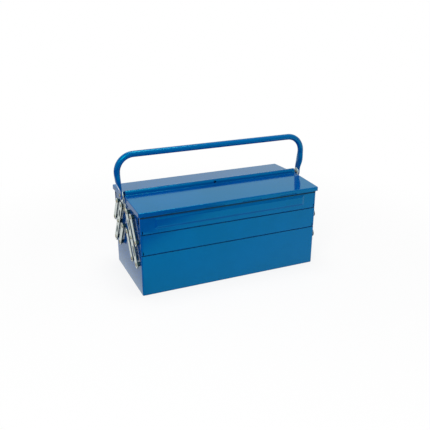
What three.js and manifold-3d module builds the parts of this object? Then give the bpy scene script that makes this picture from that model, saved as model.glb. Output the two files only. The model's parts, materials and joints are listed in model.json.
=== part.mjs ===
// Cantilever toolbox in sheet steel: a base pan, two middle and two upper trays on parallel
// arms, two hinged lids, and one tubular handle over the middle. Millimetres, +Z up, +X along
// the length, front at -Y, origin in the middle of the underside.
import * as THREE from "three";
import { mergeVertices } from "three/addons/utils/BufferGeometryUtils.js";
import Module from "manifold-3d";

const wasm = await Module();
wasm.setup();

// Case
const caseLength = 430;
const caseWidth = 200;
const baseHeight = 95;
const midTrayHeight = 48;
const topTrayHeight = 50.6;
const sheet = 0.8;
const cornerRadius = 3;
const bendRadius = 2;
const hemDepth = 7;
const seat = 0.3; // gap between pieces that touch
const centreGap = 0.8; // between the front and rear trays

// Joins and cuts
const spare = 1; // a cut reaches this far past what it cuts
const lap = 0.1; // joined forms reach this far into each other

// Folded corners of the pans
const seamInset = 5; // from the end wall to the flange's edge on the long walls
const seamWidth = 0.5;
const seamDepth = 0.4;
const notchWidth = 2;
const notchHeight = 9;
const reliefWidth = 5; // slits at the foot of the base's flanges
const reliefHeight = 1.6;
const cornerSlotInset = 5;
const cornerSlotWidth = 9;
const cornerSlotBottom = 21; // above the upper tray's underside
const cornerSlotHeight = 17;

// Raised panel on the upper trays' outer walls
const panelLength = 366;
const panelHeight = 25;
const panelRise = 1.2;
const panelBevel = 4.5;
const panelBottom = 10.5; // above the upper tray's underside

// Linkage
const basePivotInset = 17; // from the long wall
const basePivotDrop = 24; // below the base rim
const trayPivotHeight = 27; // above a tray's underside
const armLean = 31; // sideways, from the base pivot to the middle tray's pivot
const innerArmOffset = 34;
const outerArmOffset = 32;
const armPlate = 2;
const longArmWidth = 18;
const shortArmWidth = 15;
const armStandOff = 5.3;
const beadLength = 24;
const beadWidth = 5.5;
const beadDepth = 0.9;

// Rivets
const shankRadius = 2.3;
const rivetHoleRadius = 2.8;
const headRadius = 4.2;
const headHeight = 1.5;
const shoulderRadius = 0.7 * headRadius; // of the domed head, three quarters of the way up
const collarRadius = 4.6;
const eyeRadius = 1.9; // bore of the tubular rivets at the long arms' middles

// Lids and their hinges
const knuckleRadius = 1.6;
const knuckleWall = 0.7;
const hingePinRadius = 0.6;
const hingeEndInset = 8;
const hingeKnuckles = 9;
const hingeLeafHeight = 6.5;
const skirtHeight = 9.4;
const lidRearEdge = 12.4; // the rear lid starts this far behind the middle
const upstandHeight = 10.6;

// Ridge rolled along the front lid's inner edge
const ridgeDepth = 12;
const ridgeHeight = 15;
const ridgeBackGap = 5.8; // from the rear lid's top to the ridge's back edge
const lockHoleRadius = 3.5;
const lockHoleHeight = 6.8; // above the lid

// Handle and its brackets
const tubeRadius = 7;
const handleTop = 292.3; // height of the bar's centre line
const handleFlare = 16; // from an end wall to the centre line of the leg beside it
const handleBend = 38;
const handlePivotY = 4;
const handlePivotHeight = 6.1; // above the lid
const flatThickness = 3;
const flatHalfWidth = 10;
const flatTop = 7; // above the pivot
const taperLength = 24;
const bracketPlate = 2;
const bracketEarRadius = 9.5;
const bracketFootDrop = 25.5; // from the lid skirts' lower edge down to the foot's end
const bracketBendDrop = 7.5; // from the lid skirts' lower edge down to the first bend
const bracketInset = 1.1; // from the rear upper tray's inner wall
const bracketMargin = 3; // round the heads of the foot's rivets
const bracketTaper = 4; // how much the foot narrows towards the first bend
const bracketNeck = 2; // how much narrower the strip is at the first bend than at the ear
const bracketRivetDrop = 4; // below the upper tray's pivots
const bracketHeadGap = 1; // from the strip's edge to the head of that rivet

// Heights and places that follow from the sizes above
const halfLength = caseLength / 2;
const halfWidth = caseWidth / 2;
const midTrayZ = baseHeight + seat;
const topTrayZ = midTrayZ + midTrayHeight + seat;
const topRimZ = topTrayZ + topTrayHeight;
const lidTopZ = topRimZ + seat + sheet;
const skirtZ = lidTopZ - skirtHeight;
const lidOverhang = seat + 2 * knuckleRadius;
const lidOuterY = halfWidth + lidOverhang;
const lidOuterX = halfLength + lidOverhang;
const hingeY = halfWidth + seat + knuckleRadius;
const hingeZ = skirtZ + seat;
const hingeHalf = halfLength - hingeEndInset;
const armX = halfLength + armStandOff;
const armOuterX = armX + armPlate;

const basePivotZ = baseHeight - basePivotDrop;
const midPivotZ = midTrayZ + trayPivotHeight;
const topPivotZ = topTrayZ + trayPivotHeight;
const basePivotY = halfWidth - basePivotInset;
const midPivotY = basePivotY - armLean;
const leanPerHeight = armLean / (midPivotZ - basePivotZ);
const topPivotY = midPivotY - leanPerHeight * (topPivotZ - midPivotZ);

const pivots = {
  base_long: [basePivotY, basePivotZ],
  base_inner: [basePivotY - innerArmOffset, basePivotZ],
  mid_long: [midPivotY, midPivotZ],
  mid_inner: [midPivotY - innerArmOffset, midPivotZ],
  mid_outer: [midPivotY + outerArmOffset, midPivotZ],
  top_long: [topPivotY, topPivotZ],
  top_outer: [topPivotY + outerArmOffset, topPivotZ],
};

const handleSpread = halfLength + handleFlare;
const handlePivotZ = lidTopZ + handlePivotHeight;
const flatInnerX = handleSpread - tubeRadius;
const earX = flatInnerX - seat - bracketPlate;
const footX = halfLength + seat;
const bendStartZ = skirtZ - bracketBendDrop;
const footInnerY = centreGap / 2 + bracketInset;
const neckOuterY = handlePivotY + bracketEarRadius - bracketNeck;
const footOuterY = topPivotY + headRadius + bracketMargin;
const bracketRivet = [footInnerY + headRadius + bracketHeadGap, topPivotZ - bracketRivetDrop];

const paint = { color: 0x0d5fa6, roughness: 0.28, metalness: 0 };
const zinc = { color: 0xc3cbc6, roughness: 0.38, metalness: 0.9 };
const yellowZinc = { color: 0xa89066, roughness: 0.42, metalness: 0.85 };

// A closed geometry as a solid, for cuts and joins.
function solid(geometry) {
  const bare = new THREE.BufferGeometry();
  bare.setAttribute("position", geometry.getAttribute("position"));
  bare.setIndex(geometry.index);
  const merged = mergeVertices(bare, 1e-4);
  const shape = new wasm.Mesh({
    numProp: 3,
    vertProperties: Float32Array.from(merged.attributes.position.array),
    triVerts: Uint32Array.from(merged.index.array),
  });
  return new wasm.Manifold(shape);
}

function block(x0, x1, y0, y1, z0, z1) {
  const box = new THREE.BoxGeometry(x1 - x0, y1 - y0, z1 - z0);
  return solid(box.translate((x0 + x1) / 2, (y0 + y1) / 2, (z0 + z1) / 2));
}

// A cylinder along X, through a wall that faces an end.
function crossCylinder([y, z], radius, x0, x1) {
  const round = new THREE.CylinderGeometry(radius, radius, x1 - x0, 8);
  return solid(round.rotateZ(-Math.PI / 2).translate((x0 + x1) / 2, y, z));
}

// A block with rounded upright edges, whose edges round the bottom or the top are bent too.
function roundedBlock({ x, y0, y1, z0, z1, corner, bend, bentEnd }) {
  const halfDepth = (y1 - y0) / 2;
  const outline = new THREE.Shape();
  outline.absarc(x - corner, halfDepth - corner, corner, 0, Math.PI / 2);
  outline.absarc(corner - x, halfDepth - corner, corner, Math.PI / 2, Math.PI);
  outline.absarc(corner - x, corner - halfDepth, corner, Math.PI, 1.5 * Math.PI);
  outline.absarc(x - corner, corner - halfDepth, corner, 1.5 * Math.PI, 2 * Math.PI);
  outline.closePath();
  const geometry = new THREE.ExtrudeGeometry(outline, {
    depth: z1 - z0,
    curveSegments: 2,
    bevelThickness: bend,
    bevelSize: bend,
    bevelOffset: -bend,
    bevelSegments: 2,
  });
  const lift = bentEnd === "bottom" ? z0 + bend : z0 - bend;
  const whole = solid(geometry.translate(0, (y0 + y1) / 2, lift));
  return whole.intersect(block(-x - spare, x + spare, y0 - spare, y1 + spare, z0, z1));
}

// An open pan folded from sheet, with its rim hemmed inwards.
function foldedPan(y0, y1, z0, z1) {
  const walls = { x: halfLength, y0, y1, z0, z1, corner: cornerRadius, bend: bendRadius };
  const outer = roundedBlock({ ...walls, bentEnd: "bottom" });
  const inside = (inset, top) =>
    roundedBlock({
      x: halfLength - inset,
      y0: y0 + inset,
      y1: y1 - inset,
      z0: z0 + sheet,
      z1: top,
      corner: cornerRadius - inset,
      bend: bendRadius - sheet,
      bentEnd: "bottom",
    });
  return outer.subtract(inside(sheet, z1 - hemDepth)).subtract(inside(2 * sheet, z1 + spare));
}

// Holes for rivets through both end walls.
function rivetHoles(pan, places) {
  const inner = halfLength - 2 * sheet - spare;
  const outer = halfLength + spare;
  return places.reduce(
    (wall, place) =>
      wall
        .subtract(crossCylinder(place, rivetHoleRadius, inner, outer))
        .subtract(crossCylinder(place, rivetHoleRadius, -outer, -inner)),
    pan,
  );
}

// The end flanges' edges on a long wall, with the relief notch at the foot of each.
function flangeSeams(pan, wallY, z0, z1) {
  return [-1, 1].reduce((wall, end) => {
    const x = end * (halfLength - seamInset);
    const seam = block(
      x - seamWidth / 2,
      x + seamWidth / 2,
      wallY - seamDepth,
      wallY + spare,
      z0 - spare,
      z1 + spare,
    );
    const notch = block(
      x - notchWidth / 2,
      x + notchWidth / 2,
      wallY - sheet - seamDepth,
      wallY + spare,
      z0 - spare,
      z0 + notchHeight,
    );
    return wall.subtract(seam).subtract(notch);
  }, pan);
}

// The slits at the base's foot, beside the corners of both long walls.
function footReliefs(pan) {
  const reach = sheet + spare;
  const corners = [
    [-1, -1],
    [-1, 1],
    [1, -1],
    [1, 1],
  ];
  return corners.reduce((wall, [end, side]) => {
    const x = end * (halfLength - seamInset);
    const y = side * halfWidth;
    return wall.subtract(
      block(
        x - reliefWidth / 2,
        x + reliefWidth / 2,
        y - reach,
        y + reach,
        -spare,
        reliefHeight,
      ),
    );
  }, pan);
}

function basePan() {
  const places = [pivots.base_long, pivots.base_inner];
  const mirrored = places.map(([y, z]) => [-y, z]);
  const pan = footReliefs(foldedPan(-halfWidth, halfWidth, 0, baseHeight));
  return rivetHoles(pan, [...places, ...mirrored]);
}

function middleTray() {
  const pan = foldedPan(centreGap / 2, halfWidth, midTrayZ, midTrayZ + midTrayHeight);
  const seamed = flangeSeams(pan, halfWidth, midTrayZ, midTrayZ + midTrayHeight);
  return rivetHoles(seamed, [pivots.mid_long, pivots.mid_inner, pivots.mid_outer]);
}

// The raised panel's form: a flat plate whose outer face is smaller all round.
function raisedPanel(y0, y1) {
  const form = new THREE.BoxGeometry(panelLength, y1 - y0, panelHeight);
  const corners = form.attributes.position;
  for (let i = 0; i < corners.count; i += 1) {
    if (corners.getY(i) > 0) {
      corners.setX(i, corners.getX(i) - Math.sign(corners.getX(i)) * panelBevel);
      corners.setZ(i, corners.getZ(i) - Math.sign(corners.getZ(i)) * panelBevel);
    }
  }
  const middleZ = topTrayZ + panelBottom + panelHeight / 2;
  return solid(form.translate(0, (y0 + y1) / 2, middleZ));
}

function upperTray(extraHoles) {
  const pan = foldedPan(centreGap / 2, halfWidth, topTrayZ, topRimZ);
  const outerFace = halfWidth + panelRise;
  const pressed = pan
    .add(raisedPanel(halfWidth - sheet / 2, outerFace))
    .subtract(raisedPanel(halfWidth - 1.5 * sheet, outerFace - sheet));
  const slotY = halfWidth - cornerSlotInset;
  const slotZ = topTrayZ + cornerSlotBottom;
  const reach = sheet + spare;
  const slotted = [-1, 1].reduce(
    (wall, end) =>
      wall.subtract(
        block(
          end * halfLength - reach,
          end * halfLength + reach,
          slotY - cornerSlotWidth,
          slotY,
          slotZ,
          slotZ + cornerSlotHeight,
        ),
      ),
    pressed,
  );
  const seamed = flangeSeams(slotted, halfWidth, topTrayZ, topRimZ);
  return rivetHoles(seamed, [pivots.top_long, pivots.top_outer, ...extraHoles]);
}

// Places a plate drawn in its own plane (u across, v along) on an end wall: v points from one
// pivot to another and the thickness goes outwards.
function endPlateFrame([y, z], [towardsY, towardsZ], x) {
  const along = new THREE.Vector3(0, towardsY - y, towardsZ - z).normalize();
  const across = new THREE.Vector3(0, along.z, -along.y);
  const outwards = new THREE.Vector3(1, 0, 0);
  return new THREE.Matrix4().makeBasis(across, along, outwards).setPosition(x, y, z);
}

function capsule(length, width) {
  const outline = new THREE.Shape();
  outline.absarc(0, length, width / 2, 0, Math.PI);
  outline.absarc(0, 0, width / 2, Math.PI, 2 * Math.PI);
  outline.closePath();
  return outline;
}

function circleHole(v, radius) {
  const hole = new THREE.Path();
  hole.absarc(0, v, radius, 0, 2 * Math.PI, true);
  return hole;
}

function distance([y, z], [otherY, otherZ]) {
  return Math.hypot(otherY - y, otherZ - z);
}

// A pressed bead: its hollow on the outer face and the same form standing out behind.
function pressBead(plate, start) {
  const form = () =>
    new THREE.ExtrudeGeometry(capsule(beadLength - beadWidth, beadWidth - 2 * beadDepth), {
      depth: beadDepth / 2,
      curveSegments: 4,
      bevelThickness: beadDepth,
      bevelSize: beadDepth,
      bevelSegments: 1,
    }).translate(0, start, 0);
  return plate.add(solid(form())).subtract(solid(form().translate(0, 0, armPlate)));
}

// An arm through the named pivots, with a bead in the middle of each stretch if asked.
function arm(names, width, beaded) {
  const stops = names.map((name) => distance(pivots[names[0]], pivots[name]));
  const outline = capsule(stops.at(-1), width);
  outline.holes = stops.map((stop) => circleHole(stop, rivetHoleRadius));
  const blank = new THREE.ExtrudeGeometry(outline, {
    depth: armPlate,
    curveSegments: 4,
    bevelEnabled: false,
  });
  const stretches = beaded ? stops.slice(1).map((stop, i) => (stop + stops[i]) / 2) : [];
  const pressed = stretches.reduce(
    (plate, middle) => pressBead(plate, middle - (beadLength - beadWidth) / 2),
    solid(blank),
  );
  return pressed.transform(
    endPlateFrame(pivots[names[0]], pivots[names.at(-1)], armX).elements,
  );
}

// A rivet along X: shallow inner head, shank, spacing collar from collarStart to the outer
// plate, and a domed outer head, or a rolled one with a bore if tubular.
function rivet([y, z], { innerX, collarStart, plateX, outerX, tubular = false }) {
  const tipX = outerX + seat + headHeight;
  const innerFace = innerX - seat;
  const dome = [
    [headRadius, outerX + seat],
    [shoulderRadius, outerX + seat + 0.75 * headHeight],
  ];
  const tip = tubular
    ? [
        [eyeRadius, tipX],
        [eyeRadius, plateX],
        [0, plateX],
      ]
    : [[0, tipX]];
  const collar = collarStart
    ? [
        [shankRadius, collarStart],
        [collarRadius, collarStart],
        [collarRadius, plateX - seat],
        [shankRadius, plateX - seat],
      ]
    : [];
  const profile = [
    [0, innerFace - headHeight],
    [headRadius, innerFace],
    [shankRadius, innerFace],
    ...collar,
    [shankRadius, outerX + seat],
    ...dome,
    ...tip,
  ].map(([radius, x]) => new THREE.Vector2(radius, x));
  const turned = new THREE.LatheGeometry(profile, 8);
  return solid(turned.rotateZ(-Math.PI / 2).translate(0, y, z));
}

function pivotRivet(name, collarStart) {
  return rivet(pivots[name], {
    innerX: halfLength - sheet,
    collarStart,
    plateX: armX,
    outerX: armOuterX,
    tubular: name === "mid_long",
  });
}

// A tube along X on the hinge axis.
function hingeTube(x0, x1) {
  const section = new THREE.Shape();
  section.absarc(0, 0, knuckleRadius, 0, 2 * Math.PI);
  section.holes = [circleHole(0, knuckleRadius - knuckleWall)];
  const tube = new THREE.ExtrudeGeometry(section, {
    depth: x1 - x0,
    curveSegments: 4,
    bevelEnabled: false,
  });
  const frame = endPlateFrame([hingeY, hingeZ], [hingeY, hingeZ + 1], x0);
  return solid(tube.applyMatrix4(frame));
}

// Each leaf of a hinge takes every other knuckle; lid knuckles come first and last.
function knuckleSpans(first) {
  const pitch = (2 * hingeHalf) / hingeKnuckles;
  const spans = [];
  for (let i = first; i < hingeKnuckles; i += 2) {
    const start = i * pitch - hingeHalf;
    spans.push([start + seat / 2, start + pitch - seat / 2]);
  }
  return spans;
}

const knuckleClearZ = hingeZ + knuckleRadius + seat;

// The lid's plate and its skirts, ending at innerY, with the hinge knuckles under the long skirt.
function lidPan(innerY) {
  const cutAway = 2 * (cornerRadius + bendRadius);
  const shell = { x: lidOuterX, y0: innerY - cutAway, y1: lidOuterY, z0: skirtZ, z1: lidTopZ };
  const outer = roundedBlock({
    ...shell,
    corner: cornerRadius,
    bend: bendRadius,
    bentEnd: "top",
  });
  const hollow = roundedBlock({
    x: lidOuterX - sheet,
    y0: innerY - 2 * cutAway,
    y1: lidOuterY - sheet,
    z0: skirtZ - spare,
    z1: lidTopZ - sheet,
    corner: cornerRadius - sheet,
    bend: bendRadius - sheet,
    bentEnd: "top",
  });
  const pan = outer
    .subtract(hollow)
    .intersect(
      block(-lidOuterX, lidOuterX, innerY, lidOuterY + spare, skirtZ, lidTopZ + spare),
    )
    .subtract(
      block(
        -hingeHalf,
        hingeHalf,
        lidOuterY - sheet - spare,
        lidOuterY + spare,
        skirtZ - spare,
        knuckleClearZ,
      ),
    );
  return knuckleSpans(0).reduce(
    (lid, [x0, x1]) =>
      lid
        .add(block(x0, x1, lidOuterY - knuckleWall, lidOuterY, hingeZ, knuckleClearZ + lap))
        .add(hingeTube(x0, x1)),
    pan,
  );
}

function lockHole(y0, y1) {
  const bore = new THREE.CylinderGeometry(lockHoleRadius, lockHoleRadius, y1 - y0, 16);
  return solid(bore.translate(0, (y0 + y1) / 2, lidTopZ + lockHoleHeight));
}

// The ridge's wall from one leg's foot, over the rounded top, to the other's.
function ridgeSection() {
  const radius = ridgeDepth / 2;
  const springZ = lidTopZ + ridgeHeight - radius;
  const section = new THREE.Shape();
  section.moveTo(0, lidTopZ - sheet);
  section.absarc(-radius, springZ, radius, 0, Math.PI);
  section.lineTo(-ridgeDepth, lidTopZ + ridgeBackGap);
  section.lineTo(sheet - ridgeDepth, lidTopZ + ridgeBackGap);
  section.absarc(-radius, springZ, radius - sheet, Math.PI, 0, true);
  section.lineTo(-sheet, lidTopZ - sheet);
  section.closePath();
  return section;
}

function frontLid() {
  const ridge = new THREE.ExtrudeGeometry(ridgeSection(), {
    depth: 2 * lidOuterX,
    curveSegments: 4,
    bevelEnabled: false,
  });
  const frame = endPlateFrame([0, 0], [0, 1], -lidOuterX);
  const edge = block(-lidOuterX, lidOuterX, -sheet, lap, lidTopZ - sheet, lidTopZ);
  return lidPan(0)
    .add(edge)
    .add(solid(ridge.applyMatrix4(frame)))
    .subtract(lockHole(-ridgeDepth - spare, spare));
}

function rearLid() {
  const upstand = block(
    -lidOuterX,
    lidOuterX,
    lidRearEdge,
    lidRearEdge + sheet,
    lidTopZ - sheet,
    lidTopZ + upstandHeight,
  );
  return lidPan(lidRearEdge)
    .add(upstand)
    .subtract(lockHole(lidRearEdge - spare, lidRearEdge + sheet + spare));
}

// The hinge leaf welded to the upper tray's outer wall, behind the lid's skirt.
function hingeLeaf() {
  const y0 = halfWidth + seat;
  const leaf = block(
    -hingeHalf,
    hingeHalf,
    y0,
    y0 + knuckleWall,
    knuckleClearZ,
    hingeZ + hingeLeafHeight,
  );
  return knuckleSpans(1).reduce(
    (strip, [x0, x1]) =>
      strip
        .add(block(x0, x1, y0, y0 + knuckleWall, hingeZ, knuckleClearZ + lap))
        .add(hingeTube(x0, x1)),
    leaf,
  );
}

function hingePin() {
  return crossCylinder([hingeY, hingeZ], hingePinRadius, -hingeHalf, hingeHalf);
}

// A plate from the upper tray's end wall, stepped outwards over the lid's skirt to an ear
// beside the handle.
function handleBracket() {
  const footZ = skirtZ - bracketFootDrop;
  const topZ = handlePivotZ + bracketEarRadius + spare;
  const innerY = handlePivotY - bracketEarRadius - spare;
  const outerY = footOuterY + spare;
  const side = new THREE.Shape();
  side.moveTo(footX, footZ - spare);
  side.lineTo(footX + bracketPlate, footZ - spare);
  side.lineTo(footX + bracketPlate, bendStartZ);
  side.lineTo(earX + bracketPlate, skirtZ - seat);
  side.lineTo(earX + bracketPlate, topZ);
  side.lineTo(earX, topZ);
  side.lineTo(earX, skirtZ - seat);
  side.lineTo(footX, bendStartZ);
  side.closePath();
  const strip = new THREE.ExtrudeGeometry(side, { depth: outerY - innerY, bevelEnabled: false });
  strip.rotateX(Math.PI / 2).translate(0, outerY, 0);

  const face = new THREE.Shape();
  face.moveTo(footInnerY, footZ);
  face.lineTo(footOuterY - bracketMargin, footZ);
  face.lineTo(footOuterY, footZ + bracketMargin);
  face.lineTo(footOuterY, topPivotZ);
  face.lineTo(footOuterY - bracketTaper, bendStartZ);
  face.lineTo(neckOuterY, bendStartZ);
  face.absarc(handlePivotY, handlePivotZ, bracketEarRadius, 0, Math.PI);
  face.lineTo(footInnerY, bendStartZ);
  face.closePath();
  const inner = footX - spare;
  const outer = earX + bracketPlate + spare;
  const blank = new THREE.ExtrudeGeometry(face, {
    depth: outer - inner,
    curveSegments: 6,
    bevelEnabled: false,
  });
  blank.applyMatrix4(endPlateFrame([0, 0], [0, 1], inner));
  const holes = [[handlePivotY, handlePivotZ], pivots.top_long, bracketRivet];
  return holes.reduce(
    (plate, hole) => plate.subtract(crossCylinder(hole, rivetHoleRadius, inner, outer)),
    solid(strip).intersect(solid(blank)),
  );
}

// Cross-section of the handle at one place: round, or pressed flat towards the inner side.
// flatness runs from 0 for the round tube to 1 for the flat.
function handleRing(place, flatness, halfWidthHere) {
  const sides = 12;
  const mix = THREE.MathUtils.lerp;
  const thickness = mix(tubeRadius, flatThickness / 2, flatness);
  const power = 2 / mix(2, 6, flatness);
  const shift = tubeRadius - thickness;
  const ring = [];
  for (let i = 0; i < sides; i += 1) {
    const angle = (2 * Math.PI * i) / sides;
    const rounded = (value) => Math.sign(value) * Math.abs(value) ** power;
    const out = thickness * rounded(Math.cos(angle)) - shift;
    const y = halfWidthHere * rounded(Math.sin(angle));
    ring.push(
      new THREE.Vector3(
        place.x + out * place.outX,
        handlePivotY + y,
        place.z + out * place.outZ,
      ),
    );
  }
  return ring;
}

// Stations along the right half of the handle, from the flat's foot to the bar's middle.
function handleStations() {
  const stations = [];
  const mix = THREE.MathUtils.lerp;
  const add = (x, z, turn, flatness, width) =>
    stations.push(
      handleRing({ x, z, outX: Math.cos(turn), outZ: Math.sin(turn) }, flatness, width),
    );
  for (const angle of [80, 65, 45, 22, 0]) {
    const tilt = THREE.MathUtils.degToRad(angle);
    const z = handlePivotZ - flatHalfWidth * Math.sin(tilt);
    add(handleSpread, z, 0, 1, flatHalfWidth * Math.cos(tilt));
  }
  const taperZ = handlePivotZ + flatTop;
  for (let i = 0; i <= 5; i += 1) {
    const share = i / 5;
    const eased = share * share * (3 - 2 * share);
    add(
      handleSpread,
      taperZ + share * taperLength,
      0,
      1 - eased,
      mix(flatHalfWidth, tubeRadius, eased),
    );
  }
  const bendSteps = 6;
  for (let i = 0; i <= bendSteps; i += 1) {
    const turn = (i / bendSteps) * (Math.PI / 2);
    add(
      handleSpread - handleBend + handleBend * Math.cos(turn),
      handleTop - handleBend + handleBend * Math.sin(turn),
      turn,
      0,
      tubeRadius,
    );
  }
  return stations;
}

// A closed skin over rings of equal point counts, capped at both ends.
function loft(rings) {
  const sides = rings[0].length;
  const points = rings.flat();
  const faces = [];
  for (let r = 0; r + 1 < rings.length; r += 1) {
    for (let i = 0; i < sides; i += 1) {
      const next = (i + 1) % sides;
      const a = r * sides + i;
      const b = r * sides + next;
      faces.push(a, b, a + sides, b, b + sides, a + sides);
    }
  }
  const last = points.length - sides;
  for (let i = 1; i + 1 < sides; i += 1) {
    faces.push(0, i + 1, i, last, last + i, last + i + 1);
  }
  const skin = new THREE.BufferGeometry().setFromPoints(points);
  skin.setIndex(faces);
  return skin;
}

function handle() {
  const right = handleStations();
  const left = right
    .map((ring) => ring.map((point) => new THREE.Vector3(-point.x, point.y, point.z)))
    .reverse();
  const tube = solid(loft([...right, ...left]));
  const pivot = [handlePivotY, handlePivotZ];
  const inner = flatInnerX - spare;
  const outer = flatInnerX + flatThickness + spare;
  return tube
    .subtract(crossCylinder(pivot, rivetHoleRadius, inner, outer))
    .subtract(crossCylinder(pivot, rivetHoleRadius, -outer, -inner));
}

function handleRivet() {
  return rivet([handlePivotY, handlePivotZ], {
    innerX: earX,
    outerX: flatInnerX + flatThickness,
  });
}

function footRivet() {
  return rivet(bracketRivet, { innerX: halfLength - sheet, outerX: footX + bracketPlate });
}

function part(name, shape, finish) {
  const { vertProperties, triVerts } = shape.getMesh();
  const geometry = new THREE.BufferGeometry();
  geometry.setAttribute("position", new THREE.BufferAttribute(vertProperties, 3));
  geometry.setIndex(new THREE.BufferAttribute(triVerts, 1));
  const faceted = geometry.toNonIndexed();
  faceted.computeVertexNormals();
  const mesh = new THREE.Mesh(faceted, new THREE.MeshStandardMaterial(finish));
  mesh.name = name;
  return mesh;
}

// Everything below is drawn once in the rear right quarter, and mirrored to its other places.
const toolbox = new THREE.Group();
const sides = [
  ["front", -1],
  ["rear", 1],
];
const ends = [
  ["left", -1],
  ["right", 1],
];

toolbox.add(part("base_pan", basePan(), paint), part("handle", handle(), paint));

for (const [side, sideSign] of sides) {
  const half = new THREE.Group();
  half.scale.y = sideSign;
  half.add(
    part(`${side}_mid_tray`, middleTray(), paint),
    part(`${side}_top_tray`, upperTray(side === "rear" ? [bracketRivet] : []), paint),
    part(`${side}_lid`, side === "front" ? frontLid() : rearLid(), paint),
    part(`${side}_hinge_leaf`, hingeLeaf(), paint),
    part(`${side}_hinge_pin`, hingePin(), zinc),
  );
  for (const [end, endSign] of ends) {
    const quarter = new THREE.Group();
    const at = `${side}_${end}`;
    quarter.scale.x = endSign;
    quarter.add(
      part(`${at}_long_arm`, arm(["base_long", "mid_long", "top_long"], longArmWidth, true), zinc),
      part(`${at}_inner_arm`, arm(["base_inner", "mid_inner"], shortArmWidth, false), zinc),
      part(`${at}_outer_arm`, arm(["mid_outer", "top_outer"], shortArmWidth, false), zinc),
    );
    for (const name of Object.keys(pivots)) {
      const overBracket = side === "rear" && name === "top_long";
      const collarStart = (overBracket ? footX + bracketPlate : halfLength) + seat;
      quarter.add(part(`${at}_${name}_rivet`, pivotRivet(name, collarStart), yellowZinc));
    }
    half.add(quarter);
  }
  toolbox.add(half);
}

for (const [end, endSign] of ends) {
  const mount = new THREE.Group();
  mount.scale.x = endSign;
  mount.add(
    part(`${end}_handle_bracket`, handleBracket(), zinc),
    part(`${end}_handle_rivet`, handleRivet(), yellowZinc),
    part(`${end}_bracket_rivet`, footRivet(), yellowZinc),
  );
  toolbox.add(mount);
}

export default toolbox;
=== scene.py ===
# Cantilever toolbox: blue enamelled pans and trays on zinc arms, hinged lids, one tube handle.
import json
import math

import bmesh
import bpy
from mathutils import Matrix, Vector

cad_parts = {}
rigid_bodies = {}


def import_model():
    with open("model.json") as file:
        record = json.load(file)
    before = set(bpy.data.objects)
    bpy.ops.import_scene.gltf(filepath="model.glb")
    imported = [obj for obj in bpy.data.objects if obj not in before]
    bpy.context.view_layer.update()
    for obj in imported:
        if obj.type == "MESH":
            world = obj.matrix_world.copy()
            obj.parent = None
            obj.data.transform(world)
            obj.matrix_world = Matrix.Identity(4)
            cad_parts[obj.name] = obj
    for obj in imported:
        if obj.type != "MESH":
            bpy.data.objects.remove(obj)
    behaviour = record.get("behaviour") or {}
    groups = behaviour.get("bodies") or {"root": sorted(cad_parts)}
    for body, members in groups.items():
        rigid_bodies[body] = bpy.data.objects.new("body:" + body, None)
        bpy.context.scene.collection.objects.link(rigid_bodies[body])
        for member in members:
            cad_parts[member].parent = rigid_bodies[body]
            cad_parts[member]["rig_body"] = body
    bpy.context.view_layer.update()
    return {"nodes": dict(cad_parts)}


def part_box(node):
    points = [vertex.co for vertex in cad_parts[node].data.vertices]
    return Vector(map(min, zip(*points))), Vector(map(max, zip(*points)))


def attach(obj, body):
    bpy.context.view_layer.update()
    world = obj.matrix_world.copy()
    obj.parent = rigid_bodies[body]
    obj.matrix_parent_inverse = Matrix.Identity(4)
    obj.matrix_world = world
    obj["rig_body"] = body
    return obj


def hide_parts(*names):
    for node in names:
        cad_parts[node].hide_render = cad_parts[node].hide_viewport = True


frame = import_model()
print("frame loaded:", len(frame["nodes"]), "nodes")

sideSigns = {"front": -1, "rear": 1}
endSigns = {"left": -1, "right": 1}
same = 1e-6  # places closer than this count as one
aligned = 0.999  # normals whose product is above this count as parallel
spare = 0.001  # how far a cutter reaches past what it cuts


# Arithmetic on shader sockets
class Wire:
    def __init__(self, tree, socket=None):
        self.tree = tree
        self.socket = socket

    def node(self, kind, settings=None, sockets=None, out=0):
        made = self.tree.nodes.new(kind)
        for key, value in (settings or {}).items():
            setattr(made, key, value)
        for key, value in (sockets or {}).items():
            if isinstance(value, Wire):
                self.tree.links.new(value.socket, made.inputs[key])
            else:
                made.inputs[key].default_value = value
        return Wire(self.tree, made.outputs[out] if len(made.outputs) else None)

    def maths(self, operation, first, second=0.0):
        return self.node("ShaderNodeMath", {"operation": operation}, {0: first, 1: second})

    def __add__(self, other):
        return self.maths("ADD", self, other)

    __radd__ = __add__

    def __sub__(self, other):
        return self.maths("SUBTRACT", self, other)

    def __rsub__(self, other):
        return self.maths("SUBTRACT", other, self)

    def __mul__(self, other):
        return self.maths("MULTIPLY", self, other)

    __rmul__ = __mul__

    def apartFrom(self, other):
        return self.maths("ABSOLUTE", self - other)

    def atLeast(self, other):
        return self.maths("MAXIMUM", self, other)

    def axis(self, name):
        return self.node("ShaderNodeSeparateXYZ", {}, {0: self}, out=name)

    def ranged(self, low, high, newLow=0.0, newHigh=1.0):
        return self.node(
            "ShaderNodeMapRange",
            {"interpolation_type": "SMOOTHSTEP"},
            {"Value": self, "From Min": low, "From Max": high, "To Min": newLow, "To Max": newHigh},
        )

    def blended(self, first, second):  # between two colours, by this value
        return self.node(
            "ShaderNodeMix",
            {"data_type": "RGBA"},
            {"Factor": self, "A": first, "B": second},
            out="Result",
        )


def colour(red, green, blue):
    return (red, green, blue, 1.0)


def noiseOn(place, scale, detail=2.0, roughness=0.5):
    return place.node(
        "ShaderNodeTexNoise",
        {"noise_dimensions": "3D"},
        {"Vector": place, "Scale": scale, "Detail": detail, "Roughness": roughness},
        out="Fac",
    )


def stretched(place, scale):
    return place.node("ShaderNodeMapping", {}, {"Vector": place, "Scale": scale}, out="Vector")


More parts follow.
